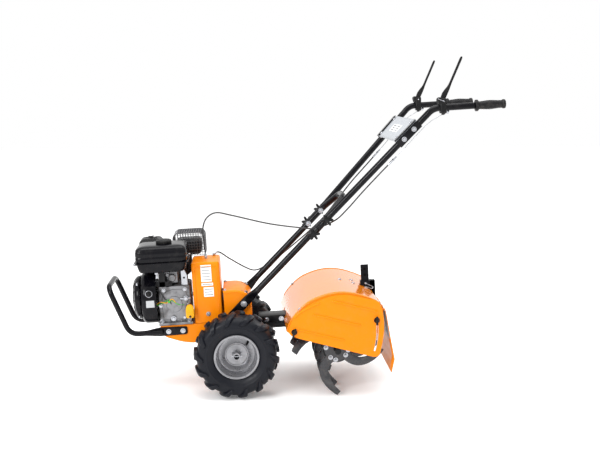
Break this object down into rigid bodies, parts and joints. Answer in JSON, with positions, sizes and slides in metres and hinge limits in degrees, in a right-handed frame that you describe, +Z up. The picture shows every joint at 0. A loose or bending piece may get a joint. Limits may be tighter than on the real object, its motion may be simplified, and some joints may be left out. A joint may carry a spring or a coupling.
{
  "type": "rear-tine garden tiller",
  "caption": "Walk-behind petrol tiller: engine and belt drive over driven lug wheels, a hooded tine rotor behind them, and long handlebars with clutch levers.",
  "frame": {"origin": "ground level under the middle of the overall box", "axes": "+X from the bumper to the handle grips, +Y to the operator's right-hand side when facing the engine, +Z up"},
  "size_m": [1.5148, 0.5384, 1.2998],
  "materials": {
    "tyre": "matt black lugged rubber",
    "rim": "satin silver paint on pressed steel",
    "orange": "glossy orange powder coat",
    "black_paint": "glossy black enamel",
    "zinc": "bright zinc plate",
    "cast_aluminium": "sand-blasted die casting",
    "cast_iron": "dark painted casting",
    "tine_steel": "black forged steel",
    "black_plastic": "moulded black plastic",
    "rubber": "soft black grip",
    "yellow_plastic": "yellow-orange plastic",
    "panel_grey": "grey printed sheet",
    "cable": "black cable sheath",
    "belt": "rubber V-belt"
  },
  "bodies": {
    "frame": {"air_cleaner": "black_plastic", "belt_guard": "orange", "bumper": "black_paint", "control_panel": "panel_grey", "crankcase": "cast_aluminium", "cylinder": "cast_aluminium", "cylinder_head": "cast_aluminium", "drive_belt": "belt", "drive_clutch_cable": "cable", "drive_tube": "black_paint", "engine_base": "orange", "fan_shroud": "black_paint", "fuel_tank": "black_paint", "gearbox_housing": "cast_iron", "grip_left": "rubber", "grip_right": "rubber", "hood_top": "orange", "lever_bracket_left": "black_plastic", "lever_bracket_right": "black_plastic", "lower_handlebar": "black_paint", "muffler": "black_paint", "muffler_guard": "black_paint", "recoil_starter": "black_paint", "stake_bracket": "black_paint", "star_knob_left_lower": "black_plastic", "star_knob_left_upper": "black_plastic", "star_knob_right_lower": "black_plastic", "star_knob_right_upper": "black_plastic", "tine_clutch_cable": "cable", "tine_gear_case": "cast_iron", "transmission_cover": "orange", "upper_tube_left": "black_paint", "upper_tube_right": "black_paint"},
    "wheels": {"wheel_axle": "zinc", "rim_left": "rim", "rim_right": "rim", "tyre_left": "tyre", "tyre_right": "tyre"},
    "tine_rotor": {"rotor_shaft": "cast_iron", "tines_left_inner": "tine_steel", "tines_left_outer": "tine_steel", "tines_right_inner": "tine_steel", "tines_right_outer": "tine_steel"},
    "crank": {"crankshaft": "zinc", "flywheel": "cast_iron", "engine_pulley": "cast_iron"},
    "gearbox_input": {"gearbox_pulley": "cast_iron"},
    "left_lever": {"clutch_lever_left": "black_plastic"},
    "right_lever": {"clutch_lever_right": "black_plastic"},
    "left_panel": {"side_panel_left": "orange"},
    "right_panel": {"side_panel_right": "orange"},
    "flap": {"rear_flap": "orange"},
    "stake": {"depth_stake": "black_paint"},
    "throttle": {"throttle_lever": "zinc"},
    "switch": {"engine_switch": "black_plastic"},
    "cap": {"fuel_cap": "black_plastic"},
    "dipstick": {"oil_dipstick": "yellow_plastic"},
    "starter_grip": {"recoil_grip": "black_plastic"}
  },
  "joints": [
    {"name": "wheels_roll", "type": "hinge", "parent": "frame", "child": "wheels", "pos_m": [-0.2515, 0, 0.167], "axis": [0, 1, 0], "continuous": true},
    {"name": "tine_rotor_spin", "type": "hinge", "parent": "frame", "child": "tine_rotor", "pos_m": [0.13837, 0, 0.18], "axis": [0, 1, 0], "continuous": true},
    {"name": "crank_spin", "type": "hinge", "parent": "frame", "child": "crank", "pos_m": [-0.36282, -0.035, 0.37431], "axis": [0.9986, 0, 0.0538], "continuous": true},
    {"name": "gearbox_input_spin", "type": "hinge", "parent": "frame", "child": "gearbox_input", "pos_m": [-0.36212, 0.05, 0.36133], "axis": [0.9986, 0, 0.0538], "continuous": true},
    {"name": "left_lever_squeeze", "type": "hinge", "parent": "frame", "child": "left_lever", "pos_m": [0.52148, -0.24526, 1.13578], "axis": [0, 1, 0], "range_deg": [0, 58], "stiffness_Nm_per_rad": 1.2, "springref_deg": -11.46},
    {"name": "right_lever_squeeze", "type": "hinge", "parent": "frame", "child": "right_lever", "pos_m": [0.52148, 0.24526, 1.13578], "axis": [0, 1, 0], "range_deg": [0, 58], "stiffness_Nm_per_rad": 1.2, "springref_deg": -11.46},
    {"name": "left_panel_lift", "type": "hinge", "parent": "frame", "child": "left_panel", "pos_m": [-0.03135, -0.251, 0.26299], "axis": [0, 1, 0], "range_deg": [-21, 0]},
    {"name": "right_panel_lift", "type": "hinge", "parent": "frame", "child": "right_panel", "pos_m": [-0.03135, 0.251, 0.26299], "axis": [0, 1, 0], "range_deg": [-21, 0]},
    {"name": "flap_swing", "type": "hinge", "parent": "frame", "child": "flap", "pos_m": [0.31641, 0, 0.34182], "axis": [0, 1, 0], "range_deg": [-80, 0]},
    {"name": "stake_slide", "type": "slide", "parent": "frame", "child": "stake", "axis": [-0.0538, 0, 0.9986], "range_m": [-0.05, 0.075]},
    {"name": "throttle_swing", "type": "hinge", "parent": "frame", "child": "throttle", "pos_m": [-0.55868, -0.0975, 0.44087], "axis": [0, 1, 0], "range_deg": [0, 30]},
    {"name": "switch_turn", "type": "hinge", "parent": "frame", "child": "switch", "pos_m": [-0.58921, -0.1353, 0.39415], "axis": [0, 1, 0], "range_deg": [0, 60]},
    {"name": "cap_turn", "type": "hinge", "parent": "frame", "child": "cap", "pos_m": [-0.5305, -0.095, 0.58689], "axis": [-0.0538, 0, 0.9986], "range_deg": [0, 90]},
    {"name": "dipstick_turn", "type": "hinge", "parent": "frame", "child": "dipstick", "pos_m": [-0.43186, -0.1085, 0.31751], "axis": [0, -1, 0], "range_deg": [0, 90]},
    {"name": "starter_pull", "type": "slide", "parent": "frame", "child": "starter_grip", "axis": [-0.0139, 0.9659, 0.2584], "range_m": [0, 0.4], "stiffness_N_per_m": 8, "springref_m": -0.05}
  ],
  "couplings": [
    {"joint": "gearbox_input_spin", "follows": "crank_spin", "ratio": 0.6}
  ]
}
